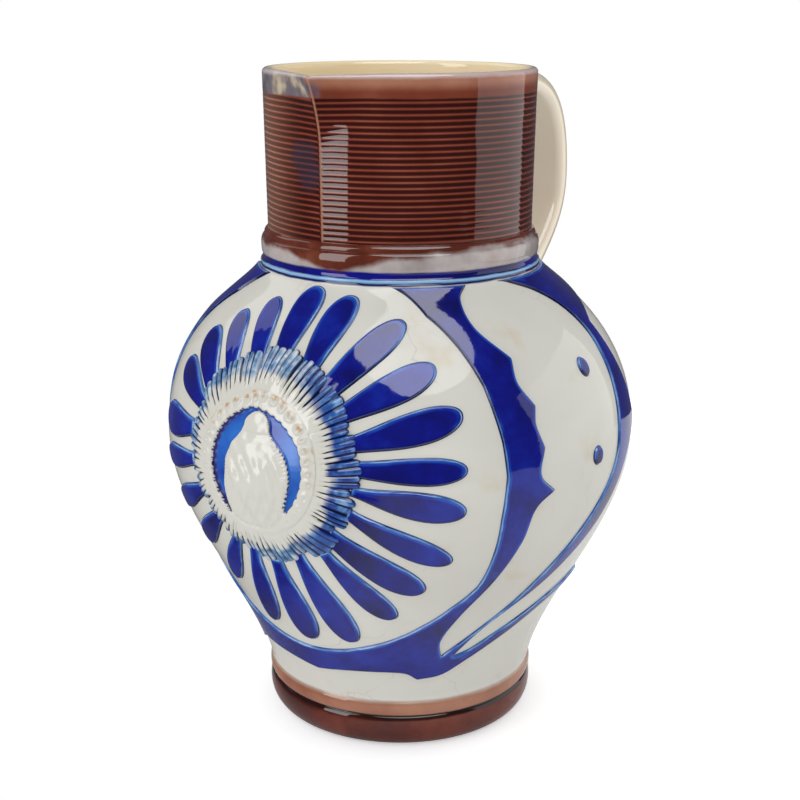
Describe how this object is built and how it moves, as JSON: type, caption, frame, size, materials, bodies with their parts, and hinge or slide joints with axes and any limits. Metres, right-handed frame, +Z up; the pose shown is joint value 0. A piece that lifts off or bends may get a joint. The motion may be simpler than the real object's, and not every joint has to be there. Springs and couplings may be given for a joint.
{
  "type": "salt-glazed stoneware jug",
  "caption": "Round-bellied stoneware jug with a ridged brown neck, pinched spout, strap handle and raised blue flower medallion.",
  "frame": {"origin": "centre of the flat foot's underside, on the axis of the turned pot", "axes": "+Z up along the pot's axis; -Y towards the flower medallion and the spout, +Y towards the handle; +X to the right of someone facing the medallion"},
  "size_m": [0.2312, 0.2538, 0.32],
  "materials": {
    "salt_glazed_stoneware": "glossy salt glaze over pale stoneware, cobalt blue on the raised ornament, brown slip on the neck and foot"
  },
  "bodies": {
    "root": {"jug": "salt_glazed_stoneware"}
  },
  "joints": []
}
